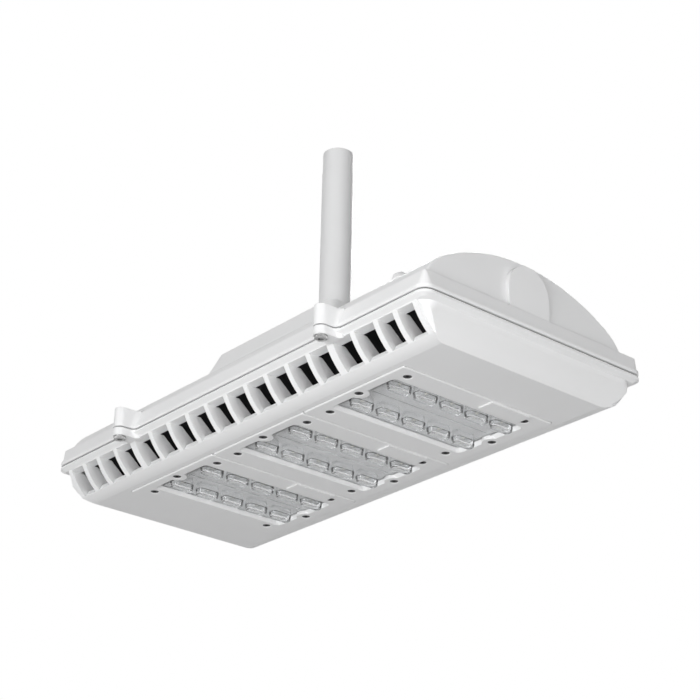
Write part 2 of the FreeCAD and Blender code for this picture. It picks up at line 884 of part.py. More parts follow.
def bezel(x):
    """Frame of a module: flared window, screw bosses, and a raised pad over the leads."""
    plate = slab(rounded_rectangle(module_length, module_width, bezel_corner, bezel_face + bezel_edge, x),
                 bezel_back - bezel_face - bezel_edge)
    face = loft([
        rounded_rectangle(module_length - 2 * bezel_edge, module_width - 2 * bezel_edge,
                          bezel_corner, bezel_face, x),
        rounded_rectangle(module_length, module_width, bezel_corner, bezel_face + bezel_edge, x),
    ])
    frame = plate.fuse(face)

    window_x = x + (window_left + window_right) / 2
    window_y = (window_near + window_far) / 2
    length = window_right - window_left
    width = window_far - window_near
    window = loft([
        rounded_rectangle(length, width, window_corner, bezel_face, window_x, window_y),
        rounded_rectangle(length - 2 * window_flare, width - 2 * window_flare,
                          window_corner, bezel_back, window_x, window_y),
    ])
    for y in (-middle_screw_y, middle_screw_y):
        window = window.cut(rod(window_boss_radius, x + middle_screw_x, y, bezel_face, bezel_back))

    pad = block(
        x + cable_pad_left, x + module_right - bezel_edge, cable_pad_far - cable_pad_length, cable_pad_far,
        bezel_face - cable_pad_relief, bezel_back,
    )
    frame = frame.cut(window).fuse(pad).removeSplitter()

    holes = []
    for sx, sy in module_screw_places(x):
        holes.append(rod(module_screw_radius + screw_clearance, sx, sy, bezel_face, bezel_back))
        holes.append(screw_cone(sx, sy, 0, screw_clearance))
    return frame.cut(holes)


def screw_cone(x, y, depth, grow):
    """Countersink of a module screw from a depth under the bezel's face, grown by a clearance."""
    taper = (module_screw_mouth_radius - module_screw_radius) / module_screw_sink_depth
    wide = module_screw_mouth_radius - taper * depth + grow
    narrow = module_screw_radius + grow
    return Part.makeCone(wide, narrow, module_screw_sink_depth - depth, V(x, y, bezel_face + depth))


def module_screws(x):
    """The six countersunk screws of a module."""
    screws = []
    for sx, sy in module_screw_places(x):
        neck = bezel_face + module_screw_sink_depth
        shank = rod(module_screw_radius, sx, sy, neck, floor_top + sink_base)
        screws.append(screw_cone(sx, sy, module_screw_recess, 0).fuse(shank))
    return Part.makeCompound(screws)


def lens_places(x):
    """Centres of the lenses of a module, with the LEDs above them."""
    span = lens_pitch * (lenses_per_row - 1)
    return [(x + row, i * lens_pitch - span / 2) for row in lens_rows_x for i in range(lenses_per_row)]


def lens_plate(x):
    """Clear optic: a base plate with two rows of lens blocks and pockets for the LEDs."""
    plate = module_opening(x, 0).common(
        block(x - module_pitch, x + module_pitch, -rim_width, rim_width, bezel_back, lens_back)
    )
    middle = x + sum(lens_rows_x) / len(lens_rows_x)
    half = lens_rib_width / 2
    blocks = [
        block(middle - half, middle + half, window_near + window_boss_radius, window_far - window_boss_radius,
              bezel_back - lens_rib_height, bezel_back)
    ]
    pockets = []
    for lx, ly in lens_places(x):
        blocks.append(loft([
            rounded_rectangle(lens_width - 2 * lens_draft, lens_length - 2 * lens_draft,
                              lens_corner - lens_draft, bezel_back - lens_height, lx, ly),
            rounded_rectangle(lens_width, lens_length, lens_corner, bezel_back, lx, ly),
        ]))
        half = led_pocket / 2
        pockets.append(block(lx - half, lx + half, ly - half, ly + half,
                             lens_back - led_pocket_depth, lens_back))
    return joined([plate] + blocks).cut(pockets)


def led_board(x):
    """Metal-core board that carries the LEDs of a module."""
    centre = x + (window_left + window_right) / 2
    return slab(rounded_rectangle(board_length, board_width, bezel_corner, board_front, centre),
                board_thickness)


def led_packages(x):
    """The LEDs of a module."""
    half = led_size / 2
    return Part.makeCompound([
        block(lx - half, lx + half, ly - half, ly + half, board_front - led_height, board_front)
        for lx, ly in lens_places(x)
    ])


def module_gasket(x):
    """Silicone frame round the board, between the lens plate and the heat sink."""
    frame = module_opening(x, 0).common(
        block(x - module_pitch, x + module_pitch, -rim_width, rim_width, lens_back, floor_top)
    )
    centre = x + (window_left + window_right) / 2
    room = slab(
        rounded_rectangle(board_length + 2 * gasket_slack, board_width + 2 * gasket_slack,
                          bezel_corner, lens_back, centre),
        floor_top - lens_back,
    )
    return frame.cut(room)


def heat_sink(x):
    """Black heat sink of a module: base plate and fins across the light."""
    base = slab(rounded_rectangle(sink_length, sink_width, bezel_corner, floor_top, x), sink_base)
    fins = []
    step = (sink_length - sink_fin_thickness) / (sink_fins - 1)
    for i in range(sink_fins):
        left = x - sink_length / 2 + i * step
        fins.append(block(left, left + sink_fin_thickness, -sink_width / 2 + bezel_corner,
                          sink_width / 2 - bezel_corner, floor_top, floor_top + sink_base + sink_fin_height))
    holes = []
    for sx, sy in module_screw_places(x):
        holes.append(rod(module_screw_radius, sx, sy, floor_top, floor_top + sink_base))
    return joined([base] + fins).cut(holes)


def captive_screw(x):
    """Latch screw: pan head with a hexagon socket, thin shank, threaded tip that keeps it in."""
    face = latch_ear_bottom - latch_head_height
    rim = loft([
        Part.Wire(Part.makeCircle(latch_head_radius - latch_head_edge, V(x, latch_y, face))),
        Part.Wire(Part.makeCircle(latch_head_radius, V(x, latch_y, face + latch_head_edge))),
    ])
    head = rod(latch_head_radius, x, latch_y, face + latch_head_edge, latch_ear_bottom)
    shank = rod(latch_shank_radius, x, latch_y, latch_ear_bottom, latch_thread_end)
    thread = rod(latch_thread_radius, x, latch_y, latch_thread_start, latch_thread_end)
    drive = hexagon(latch_drive_across / 2, x, latch_y, face, face + latch_drive_depth)
    return joined([head, rim, shank, thread]).cut(drive)


def tray_screw_places():
    """Where the gear tray is screwed to the posts."""
    return [(x, y) for x in tray_posts_x for y in tray_posts_y]


def gear_tray():
    """Sheet tray that closes the gear compartment and carries the gear."""
    tray = slab(rounded_rectangle(tray_length, tray_width, tray_corner, tray_bottom), tray_thickness)
    holes = []
    for x, y in tray_screw_places():
        holes.append(rod(tray_screw_radius + screw_clearance, x, y, tray_bottom, tray_top))
    for x, y in driver_screw_places():
        holes.append(rod(small_screw_radius, x, y, tray_bottom, tray_top))
    holes.append(rod(small_screw_radius, ground_x, ground_y, tray_bottom, tray_top))
    return tray.cut(holes)


def tray_screws():
    """Pan-head screws that hold the tray up against the posts."""
    screws = []
    for x, y in tray_screw_places():
        head = rod(tray_screw_head_radius, x, y, tray_bottom - tray_screw_head_height, tray_bottom)
        shank = rod(tray_screw_radius, x, y, tray_bottom, tray_top + tray_screw_length)
        screws.append(head.fuse(shank))
    return Part.makeCompound(screws)


def led_driver():
    """LED driver: extruded case with chamfered edges and a foot at each end."""
    half = driver_width / 2
    top = tray_top + driver_height
    outline = [
        (-half, tray_top), (half, tray_top), (half, top - driver_edge), (half - driver_edge, top),
        (driver_edge - half, top), (-half, top - driver_edge),
    ]
    x0 = driver_x - driver_length / 2
    x1 = driver_x + driver_length / 2
    case = prism_along_x(outline, x0, x1)
    foot = slab(
        rounded_rectangle(driver_length + 2 * driver_foot, driver_width, driver_edge, tray_top, driver_x),
        driver_foot_thickness,
    )
    holes = [
        rod(small_screw_radius + screw_clearance, x, y, tray_top, tray_top + driver_foot_thickness)
        for x, y in driver_screw_places()
    ]
    return joined([case, foot]).cut(holes)


def driver_screw_places():
    """Where the driver's feet are screwed down."""
    reach = driver_length / 2 + driver_foot / 2
    return [(driver_x + sx * reach, sy * driver_screw_y) for sx in (-1, 1) for sy in (-1, 1)]


def small_screw(x, y, seat):
    """Pan-head screw down through the tray from a seat height."""
    head = rod(small_screw_head_radius, x, y, seat, seat + small_screw_head_height)
    shank = rod(small_screw_radius, x, y, tray_bottom, seat)
    return head.fuse(shank)


def driver_screws():
    """Four screws in the driver's feet."""
    seat = tray_top + driver_foot_thickness
    return Part.makeCompound([small_screw(x, y, seat) for x, y in driver_screw_places()])


def surge_protector():
    """Potted surge protector block with chamfered upper edges."""
    low = rounded_rectangle(surge_length, surge_width, surge_edge, tray_top, surge_x, surge_y)
    high = rounded_rectangle(surge_length - surge_edge, surge_width - surge_edge, surge_edge,
                             tray_top + surge_height, surge_x, surge_y)
    return loft([low, high])


def terminal_pole_places():
    """Centres of the poles of the terminal block."""
    start = terminal_x - terminal_pole_pitch * (terminal_poles - 1) / 2
    return [start + i * terminal_pole_pitch for i in range(terminal_poles)]


def terminal_block():
    """Stepped terminal block with a wire mouth and a screw well at each pole."""
    half = terminal_width / 2
    top_half = terminal_top_width / 2
    top = tray_top + terminal_height
    step = top - terminal_step
    outline = [
        (terminal_y - half, tray_top), (terminal_y + half, tray_top), (terminal_y + half, step),
        (terminal_y + top_half, top), (terminal_y - top_half, top), (terminal_y - half, step),
    ]
    length = terminal_poles * terminal_pole_pitch
    body = prism_along_x(outline, terminal_x - length / 2, terminal_x + length / 2)
    cuts = []
    for x in terminal_pole_places():
        mouth_z = tray_top + terminal_step
        cuts.append(block(x - terminal_mouth_radius, x + terminal_mouth_radius, terminal_y - half,
                          terminal_y + half, mouth_z - terminal_mouth_radius, mouth_z))
        cuts.append(rod(terminal_screw_radius, x, terminal_y, mouth_z, top))
    return body.cut(cuts)


def terminal_screws():
    """One clamping screw in each pole of the terminal block."""
    top = tray_top + terminal_height - terminal_screw_sink
    radius = terminal_screw_radius - terminal_screw_clearance
    return Part.makeCompound([
        rod(radius, x, terminal_y, top - terminal_screw_height, top)
        for x in terminal_pole_places()
    ])


def ground_screw():
    """Hexagon-head earthing screw on the tray."""
    head = hexagon(ground_head_radius, ground_x, ground_y, tray_top, tray_top + ground_head_height)
    shank = rod(small_screw_radius, ground_x, ground_y, tray_bottom - ground_tail, tray_top)
    return head.fuse(shank)


def export(shape, name):
    """Write a node with the stem's top end at the origin."""
    moved = shape.copy()
    moved.translate(V(0, 0, -stem_top))
    moved.exportStep("parts/" + name + ".step")


os.makedirs("parts", exist_ok=True)

export(stem_pipe(), "stem_pipe")
export(stem_locknut(), "stem_locknut")
export(stem_seal(), "stem_seal")
export(stem_set_screw(), "stem_set_screw")
export(upper_housing(), "upper_housing")
export(breather(), "breather")
export(gear_tray(), "gear_tray")
export(tray_screws(), "gear_tray_screws")
export(led_driver(), "led_driver")
export(driver_screws(), "driver_screws")
export(surge_protector(), "surge_protector")
export(terminal_block(), "terminal_block")
export(terminal_screws(), "terminal_screws")
export(ground_screw(), "ground_screw")
export(rim_gasket(), "rim_gasket")
export(hinge_pins(), "hinge_pins")
export(lower_housing(), "lower_housing")
export(captive_screw(latch_places_x[0]), "captive_screw_left")
export(captive_screw(latch_places_x[1]), "captive_screw_right")
for module, place in zip(module_names, module_centres):
    export(bezel(place), "bezel_" + module)
    export(lens_plate(place), "lens_plate_" + module)
    export(led_board(place), "led_board_" + module)
    export(led_packages(place), "leds_" + module)
    export(module_gasket(place), "module_gasket_" + module)
    export(heat_sink(place), "heat_sink_" + module)
    export(module_screws(place), "module_screws_" + module)
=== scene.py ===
import json
import math

import bmesh
import bpy
from mathutils import Matrix, Vector


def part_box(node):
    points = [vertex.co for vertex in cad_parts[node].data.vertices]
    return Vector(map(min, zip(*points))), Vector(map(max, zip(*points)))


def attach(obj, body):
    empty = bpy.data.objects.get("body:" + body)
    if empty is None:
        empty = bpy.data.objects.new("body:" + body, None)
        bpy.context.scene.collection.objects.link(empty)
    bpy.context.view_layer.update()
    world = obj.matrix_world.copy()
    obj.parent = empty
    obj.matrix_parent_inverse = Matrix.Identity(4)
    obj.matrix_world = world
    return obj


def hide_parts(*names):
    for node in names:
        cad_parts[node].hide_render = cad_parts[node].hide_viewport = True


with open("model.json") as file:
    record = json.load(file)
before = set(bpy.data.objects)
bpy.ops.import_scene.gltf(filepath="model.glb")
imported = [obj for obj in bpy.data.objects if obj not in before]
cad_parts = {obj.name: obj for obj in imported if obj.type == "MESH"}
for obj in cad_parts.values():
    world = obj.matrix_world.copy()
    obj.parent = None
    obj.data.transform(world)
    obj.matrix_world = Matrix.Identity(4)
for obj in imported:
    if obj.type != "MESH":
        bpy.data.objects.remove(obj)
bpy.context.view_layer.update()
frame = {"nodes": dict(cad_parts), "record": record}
cad = frame["nodes"]
slot_of = {entry["node"]: entry["material_slot"] for entry in frame["record"]["subparts"]}
scene = bpy.context.scene
scene.view_settings.view_transform = "Standard"

MM = 0.001
modules = ("left", "middle", "right")
weld_reach = 0.002 * MM


# Node helpers

# Most values of a noise lie between these two
noise_low = 0.3
noise_high = 0.7
edge_samples = 6


def new_material(name):
    """Empty node material with a Principled shader and its output."""
    material = bpy.data.materials.new(name)
    material.use_nodes = True
    tree = material.node_tree
    tree.nodes.clear()
    output = tree.nodes.new("ShaderNodeOutputMaterial")
    shader = tree.nodes.new("ShaderNodeBsdfPrincipled")
    tree.links.new(shader.outputs["BSDF"], output.inputs["Surface"])
    return material, tree, shader


def noise(tree, scale, detail, roughness=0.5, stretch=(1, 1, 1)):
    """Noise in object space, in features per metre."""
    place = tree.nodes.new("ShaderNodeTexCoord")
    mapping = tree.nodes.new("ShaderNodeMapping")
    mapping.inputs["Scale"].default_value = stretch
    tree.links.new(place.outputs["Object"], mapping.inputs["Vector"])
    texture = tree.nodes.new("ShaderNodeTexNoise")
    texture.inputs["Scale"].default_value = scale
    texture.inputs["Detail"].default_value = detail
    texture.inputs["Roughness"].default_value = roughness
    tree.links.new(mapping.outputs["Vector"], texture.inputs["Vector"])
    return texture.outputs["Fac"]


def grey(level):
    """Colour with one level in all three channels."""
    return level, level, level


def ramp(tree, value, low, high):
    """Colour ramp from one colour to another, over the usual run of a noise."""
    node = tree.nodes.new("ShaderNodeValToRGB")
    ends = zip(node.color_ramp.elements, (noise_low, noise_high), (low, high))
    for element, place, colour in ends:
        element.position = place
        element.color = (*colour, 1.0)
    tree.links.new(value, node.inputs["Fac"])
    return node.outputs["Color"]


def bump(tree, shader, height, strength, distance, edge=0.0):
    """Bump on the shader, over edges softened by a radius."""
    node = tree.nodes.new("ShaderNodeBump")
    node.inputs["Strength"].default_value = strength
    node.inputs["Distance"].default_value = distance
    tree.links.new(height, node.inputs["Height"])
    if edge:
        soft = tree.nodes.new("ShaderNodeBevel")
        soft.samples = edge_samples
        soft.inputs["Radius"].default_value = edge
        tree.links.new(soft.outputs["Normal"], node.inputs["Normal"])
    tree.links.new(node.outputs["Normal"], shader.inputs["Normal"])


def combine(tree, operation, first, second):
    """Math node over a socket and a second socket or number."""
    node = tree.nodes.new("ShaderNodeMath")
    node.operation = operation
    tree.links.new(first, node.inputs[0])
    if isinstance(second, float):
        node.inputs[1].default_value = second
    else:
        tree.links.new(second, node.inputs[1])
    return node.outputs["Value"]


# Kinds of material

colour_detail = 4.0
gloss_detail = 3.0
relief_detail = 2.0


def textured(name, colours, gloss, scales, strength, distance, edge, drift=0.5, stretch=(1, 1, 1)):
    """Material with a noise of its own for colour, for gloss and for fine relief."""
    material, tree, shader = new_material(name)
    colour_scale, gloss_scale, relief_scale = scales
    colour_noise = noise(tree, colour_scale, colour_detail, drift, stretch)
    tree.links.new(ramp(tree, colour_noise, *colours), shader.inputs["Base Color"])
    gloss_noise = noise(tree, gloss_scale, gloss_detail, stretch=stretch)
    tree.links.new(ramp(tree, gloss_noise, *map(grey, gloss)), shader.inputs["Roughness"])
    relief = noise(tree, relief_scale, relief_detail, stretch=stretch)
    bump(tree, shader, relief, strength, distance, edge)
    return material, shader


def painted(name, colour, shade, rough):
    """Powder coat: slight colour drift, orange-peel bump and uneven gloss."""
    material, shader = textured(
        name,
        colours=(shade, colour),
        gloss=(rough - 0.05, rough + 0.06),
        scales=(9.0, 60.0, 1400.0),
        strength=0.22,
        distance=0.06 * MM,
        edge=0.5 * MM,
    )
    shader.inputs["Specular IOR Level"].default_value = 0.45
    return material


def metal(name, colour, shade, rough, stretch=(1, 1, 1)):
    """Bare or plated metal with fine brushing and uneven gloss."""
    material, shader = textured(
        name,
        colours=(shade, colour),
        gloss=(rough - 0.08, rough + 0.1),
        scales=(240.0, 900.0, 2600.0),
        strength=0.18,
        distance=0.03 * MM,
        edge=0.25 * MM,
        drift=0.6,
        stretch=stretch,
    )
    shader.inputs["Metallic"].default_value = 1.0
    return material


def plain_solid(name, colour, shade, rough, scale=500.0, edge=0.3 * MM):
    """Moulded plastic or rubber with a fine grain."""
    material, _ = textured(
        name,
        colours=(shade, colour),
        gloss=(rough - 0.07, rough + 0.07),
        scales=(scale / 12, scale, scale * 4),
        strength=0.25,
        distance=0.05 * MM,
        edge=edge,
    )
    return material


def clear_plastic(name, colour, rough):
    """Clear moulded optic with a faint ripple, which lets the lamps through to the board."""
    material, tree, shader = new_material(name)
    shader.inputs["Base Color"].default_value = (*colour, 1.0)
    shader.inputs["Transmission Weight"].default_value = 0.96
    shader.inputs["IOR"].default_value = 1.49
    gloss = ramp(tree, noise(tree, 300.0, relief_detail), grey(rough), grey(rough + 0.04))
    tree.links.new(gloss, shader.inputs["Roughness"])
    bump(tree, shader, noise(tree, 220.0, relief_detail), strength=0.12, distance=0.08 * MM)
    open_way = tree.nodes.new("ShaderNodeBsdfTransparent")
    open_way.inputs["Color"].default_value = (*colour, 1.0)
    rays = tree.nodes.new("ShaderNodeLightPath")
    mix = tree.nodes.new("ShaderNodeMixShader")
    tree.links.new(rays.outputs["Is Shadow Ray"], mix.inputs["Fac"])
    tree.links.new(shader.outputs["BSDF"], mix.inputs[1])
    tree.links.new(open_way.outputs["BSDF"], mix.inputs[2])
    output = next(node for node in tree.nodes if node.type == "OUTPUT_MATERIAL")
    tree.links.new(mix.outputs["Shader"], output.inputs["Surface"])
    return material


# Materials, one for each slot of the record: colour, darker shade, roughness

along_case = (0.1, 1, 1)
screw_edge = 0.1 * MM
looks = {
    "white_casting": painted("white_casting", (0.86, 0.862, 0.866), (0.835, 0.837, 0.84), 0.38),
    "stem_paint": painted("stem_paint", (0.78, 0.782, 0.785), (0.74, 0.742, 0.745), 0.42),
    "zinc_steel": metal("zinc_steel", (0.66, 0.66, 0.64), (0.52, 0.52, 0.50), 0.38),
    "latch_steel": metal("latch_steel", grey(0.50), grey(0.34), 0.30),
    # Black-oxide screw heads, in a near-black non-metal colour that also stands in as painted shade of
    # the countersunk recesses they sit in.
    "dark_screw": plain_solid(
        "dark_screw", (0.022, 0.022, 0.024), (0.012, 0.012, 0.013), 0.5, 900.0, screw_edge),
    # Black rubber for the gaskets; the rim gasket's black also stands in as painted shade of the gap
    # between the two castings.
    "black_rubber": plain_solid("black_rubber", grey(0.035), grey(0.02), 0.75),
    "grey_silicone": plain_solid("grey_silicone", (0.70, 0.70, 0.705), (0.65, 0.65, 0.655), 0.6),
    "breather_plastic": plain_solid(
        "breather_plastic", (0.82, 0.82, 0.825), (0.76, 0.76, 0.765), 0.5),
    # Black-painted gear tray, kept near-black partly as painted shade of the housing's inside seen
    # through the vents.
    "tray_paint": painted("tray_paint", (0.045, 0.045, 0.048), (0.03, 0.03, 0.032), 0.6),
    "driver_case": metal(
        "driver_case", (0.70, 0.71, 0.72), (0.60, 0.61, 0.62), 0.45, along_case),
    "surge_case": plain_solid("surge_case", (0.09, 0.09, 0.10), (0.06, 0.06, 0.07), 0.55),
    "terminal_plastic": plain_solid(
        "terminal_plastic", (0.78, 0.77, 0.72), (0.72, 0.71, 0.66), 0.5),
    "brass_screw": metal("brass_screw", (0.80, 0.63, 0.31), (0.66, 0.50, 0.22), 0.32),
    "green_screw": painted("green_screw", (0.06, 0.34, 0.14), (0.05, 0.27, 0.11), 0.4),
    "clear_optic": clear_plastic("clear_optic", (0.97, 0.975, 0.98), 0.03),
    "board_metal": plain_solid(
        "board_metal", (0.65, 0.655, 0.66), (0.60, 0.605, 0.61), 0.5, 300.0),
    "led_phosphor": plain_solid(
        "led_phosphor", (0.86, 0.84, 0.72), (0.80, 0.77, 0.62), 0.4, 900.0),
    # Heat sinks: black anodising, made darker still as painted shade of the dark inside seen through
    # the vent slots.
    "black_sink": painted("black_sink", (0.010, 0.010, 0.011), (0.006, 0.006, 0.007), 0.7),
}
for name, slot in slot_of.items():
    cad[name].data.materials.clear()
    cad[name].data.materials.append(looks[slot])


# Rounded edges on the nodes that show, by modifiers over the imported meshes

casting_round = 0.7 * MM
bezel_round = 0.45 * MM
round_segments = 2
round_from = math.radians(30.0)
flat_within = math.radians(0.3)


def soften(name, width):
    """Round the sharp edges of a node."""
    node = cad[name]
    weld = node.modifiers.new("weld", "WELD")
    weld.merge_threshold = weld_reach
    merge = node.modifiers.new("merge_flats", "DECIMATE")
    merge.decimate_type = "DISSOLVE"
    merge.angle_limit = flat_within
    edge = node.modifiers.new("round_edges", "BEVEL")
    edge.width = width
    edge.segments = round_segments
    edge.limit_method = "ANGLE"
    edge.angle_limit = round_from
    edge.miter_outer = "MITER_ARC"
    edge.harden_normals = True
    normals = node.modifiers.new("even_shading", "WEIGHTED_NORMAL")
    normals.keep_sharp = True


for casting in ("upper_housing", "lower_housing"):
    soften(casting, casting_round)
for module in modules:
    soften("bezel_" + module, bezel_round)


# Places and outlines of the small pieces

def welded(name):
    """Editable copy of a node's mesh with its doubled corners joined."""
    shape = bmesh.new()
    shape.from_mesh(cad[name].data)
    bmesh.ops.remove_doubles(shape, verts=shape.verts, dist=weld_reach)
    return shape


def corners(verts):
    """Lowest and highest corner of the box round some vertices."""
    columns = list(zip(*(vert.co for vert in verts)))
    return Vector(map(min, columns)), Vector(map(max, columns))


def islands(name):
    """Lowest and highest corner of each separate solid in a node."""
    shape = welded(name)
    waiting = set(shape.verts)
    boxes = []
    for start in shape.verts:
        if start not in waiting:
            continue
        waiting.remove(start)
        found = [start]
        for vert in found:
            near = {edge.other_vert(vert) for edge in vert.link_edges} & waiting
            waiting -= near
            found.extend(near)
        boxes.append(corners(found))
    shape.free()
    return boxes


def under_middles(name, height=0.0):
    """Point on the axis of each solid in a node, at a height above its lowest point."""
    places = []
    for low, high in islands(name):
        middle = (low + high) / 2
        places.append(Vector((middle.x, middle.y, low.z + height)))
    return places


def hexagon(half_flats):
    """Radius of a hexagon at an angle, from half its width across flats."""
    sixth = math.pi / 3
    return lambda angle: half_flats / math.cos((angle + sixth / 2) % sixth - sixth / 2)


def cross(half_length, half_width):
    """Radius of a cross recess at an angle."""
    quarter = math.pi / 2
    shift = quarter / 2
    return lambda angle: min(
        half_length,
        half_width / max(math.sin(abs((angle + shift) % quarter - shift)), half_width / half_length),
    )


def square(half):
    """Radius of a square at an angle."""
    return lambda angle: half / max(abs(math.cos(angle)), abs(math.sin(angle)))


def knurl(outer, depth, teeth):
    """Radius of a knurled rim at an angle."""
    return lambda angle: outer - depth * abs(math.sin(teeth * angle / 2))


def thread(outer, depth, pitch, height):
    """Radius of a screw thread at an angle, for one height along it."""
    return lambda angle: outer - depth * abs(2 * ((height / pitch - angle / (2 * math.pi)) % 1.0) - 1)


# Pieces in place of plain solids

crease = math.radians(32)
level_normal = 0.9999


def stand_in(shape, name, node, body):
    """Finish a mesh as the piece that replaces a node."""
    mesh = bpy.data.meshes.new(name)
    shape.to_mesh(mesh)
    shape.free()
    mesh.shade_smooth()
    mesh.set_sharp_from_angle(angle=crease)
    for face in mesh.polygons:
        face.use_smooth = abs(face.normal.z) < level_normal
    piece = bpy.data.objects.new(name, mesh)
    scene.collection.objects.link(piece)
    mesh.materials.append(looks[slot_of[node]])
    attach(piece, body)
    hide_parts(node)


def turned(name, node, body, places, rings, segments=48):
    """Piece of rings about each place: each has a height and a radius, or a rule for it, in mm."""
    shape = bmesh.new()
    for place in places:
        rows = []
        for height, radius in rings:
            row = []
            for step in range(segments):
                angle = 2 * math.pi * step / segments
                reach = radius(angle) if callable(radius) else radius
                spot = Vector((reach * math.cos(angle), reach * math.sin(angle), height)) * MM
                row.append(shape.verts.new(place + spot))
            rows.append(row)
        for low, high in zip(rows, rows[1:]):
            for step in range(segments):
                after = (step + 1) % segments
                shape.faces.new((low[step], low[after], high[after], high[step]))
        shape.faces.new(rows[0])
        shape.faces.new(rows[-1])
    bmesh.ops.recalc_face_normals(shape, faces=shape.faces)
    stand_in(shape, name, node, body)


# Countersunk module screws with a hexagon socket, from the socket's floor out and up

module_socket = hexagon(1.25)
module_screw_rings = [
    (1.4, hexagon(0.2)),
    (1.3, module_socket),
    (0.1, module_socket),
    (0.0, hexagon(1.4)),
    (0.0, 3.1),
    (0.1, 3.25),
    (1.3, 1.7),
    (9.3, 1.7),
    (9.5, 1.5),
]
for module in modules:
    node = "module_screws_" + module
    turned("socket_" + node, node, "door", under_middles(node), module_screw_rings)


# Captive screws: knurled head with a hexagon socket on a washer face, waisted shank, thread at the end

captive_head_depth = 1.8 * MM
captive_segments = 104
captive_socket = hexagon(2.0)
captive_grip = knurl(outer=4.9, depth=0.8, teeth=26)
thread_radius = 2.5
thread_depth = 0.45
thread_pitch = 0.8
thread_start = 11.7
thread_length = 3.6
thread_steps = 30
captive_rings = [
    (-0.9, hexagon(0.3)),
    (-1.0, captive_socket),
    (-2.5, captive_socket),
    (-2.7, hexagon(2.25)),
    (-2.7, 3.7),
    (-2.5, 3.95),
    (-2.2, captive_grip),
    (-0.9, captive_grip),
    (-0.7, 4.3),
    (-0.5, 4.3),
    (-0.5, 4.95),
    (-0.05, 5.0),
    (0.0, 4.9),
    (0.0, 2.0),
    (thread_start, 2.0),
]
for step in range(thread_steps + 1):
    height = thread_start + thread_length * step / thread_steps
    captive_rings.append((height, thread(thread_radius, thread_depth, thread_pitch, height)))
for side in ("left", "right"):
    node = "captive_screw_" + side
    places = under_middles(node, captive_head_depth)
    turned("knurled_" + node, node, "screw_" + side, places, captive_rings, captive_segments)


# Pan-head screws of the gear tray with a cross recess

tray_screw_rings = [
    (1.3, cross(0.3, 0.2)),
    (1.2, cross(1.5, 0.35)),
    (0.0, cross(2.1, 0.5)),
    (0.0, 2.5),
    (0.25, 3.2),
    (0.9, 3.75),
    (1.5, 3.9),
    (2.4, 3.9),
    (2.4, 2.0),
    (12.7, 2.0),
    (12.9, 1.7),
]
node = "gear_tray_screws"
turned("cross_" + node, node, "canopy", under_middles(node), tray_screw_rings)


# LEDs: a square body with a domed cap, hanging from the board

led_segments = 24
dome_radius = 1.45
dome_height = 0.36
dome_rows = 6
led_rings = [
    (0.7, square(1.7)),
    (0.45, square(1.75)),
    (dome_height, square(1.7)),
    (dome_height, dome_radius),
]
for row in range(1, dome_rows):
    turn = math.pi / 2 * row / dome_rows
    led_rings.append((dome_height * (1 - math.sin(turn)), dome_radius * math.cos(turn)))
for module in modules:
    node = "leds_" + module
    turned("domed_" + node, node, "door", under_middles(node), led_rings, led_segments)


# Optics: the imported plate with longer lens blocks, rounded at the edge and hollow over the LEDs

lens_stretch = Vector((0.5, 1.8, 0.0)) * MM
lens_edge = 0.7 * MM
lens_draft = 0.5 * MM
lens_wall = 2.0 * MM
lens_edge_rows = 4
rib_room = 1.0 * MM


def open_rings(shape):
    """Vertices round each hole of an open mesh, in order."""
    waiting = {edge for edge in shape.edges if edge.is_boundary}
    rings = []
    for start in shape.edges:
        if start not in waiting:
            continue
        waiting.remove(start)
        ring = list(start.verts)
        onward = [edge for edge in ring[-1].link_edges if edge in waiting]
        while onward:
            waiting.remove(onward[0])
            ring.append(onward[0].other_vert(ring[-1]))
            onward = [edge for edge in ring[-1].link_edges if edge in waiting]
        rings.append(ring[:-1])
    return rings


def middle_and_half(ring):
    """Middle and half size of the box round a ring of vertices."""
    low, high = corners(ring)
    return (low + high) / 2, (high - low) / 2


def inner_ring(shape, ring, inset, drop):
    """Copy of a ring, drawn in towards its middle and let down."""
    middle, half = middle_and_half(ring)
    row = []
    for vert in ring:
        x = (vert.co.x - middle.x) * (1 - inset / half.x)
        y = (vert.co.y - middle.y) * (1 - inset / half.y)
        row.append(shape.verts.new(middle + Vector((x, y, -drop))))
    return row


def block(shape, ring, height):
    """Faces of a block below a ring, with draft and a rounded edge round its face."""
    rows = [ring]
    for step in range(lens_edge_rows + 1):
        turn = math.pi / 2 * step / lens_edge_rows
        inset = lens_draft + lens_edge * (1 - math.cos(turn))
        rows.append(inner_ring(shape, ring, inset, height - lens_edge * (1 - math.sin(turn))))
    faces = []
    for outer, inner in zip(rows, rows[1:]):
        for i in range(len(ring)):
            faces.append(shape.faces.new((outer[i - 1], outer[i], inner[i], inner[i - 1])))
    faces.append(shape.faces.new(rows[-1]))
    return faces


def optic(module):
    """Lens plate with its blocks made into hollow lenses."""
    node = "lens_plate_" + module
    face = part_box("bezel_" + module)[1].z
    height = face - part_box(node)[0].z
    shape = welded(node)
    below = [vert for vert in shape.verts if vert.co.z < face - rib_room]
    bmesh.ops.delete(shape, geom=below, context="VERTS")
    lenses = open_rings(shape)
    for ring in lenses:
        middle = middle_and_half(ring)[0]
        for vert in ring:
            vert.co.x += math.copysign(lens_stretch.x, vert.co.x - middle.x)
            vert.co.y += math.copysign(lens_stretch.y, vert.co.y - middle.y)
        block(shape, ring, height)
    bmesh.ops.recalc_face_normals(shape, faces=shape.faces)
    for ring in lenses:
        mouth = inner_ring(shape, ring, lens_wall, 0.0)
        hollow = [shape.faces.new(mouth)] + block(shape, mouth, height - lens_wall)
        bmesh.ops.recalc_face_normals(shape, faces=hollow)
        bmesh.ops.reverse_faces(shape, faces=hollow)
    stand_in(shape, "lenses_" + module, node, "door")


for module in modules:
    optic(module)


# Camera of the photograph: place, axes and lens worked out from the light's corners

camera_place = Vector((1.0645, -0.8783, -0.8399))
camera_azimuth = math.radians(49.92)
camera_elevation = math.radians(25.40)
camera_roll = math.radians(1.17)
focal_pixels = 1869.6
image_pixels = 700.0
sensor_width = 36.0

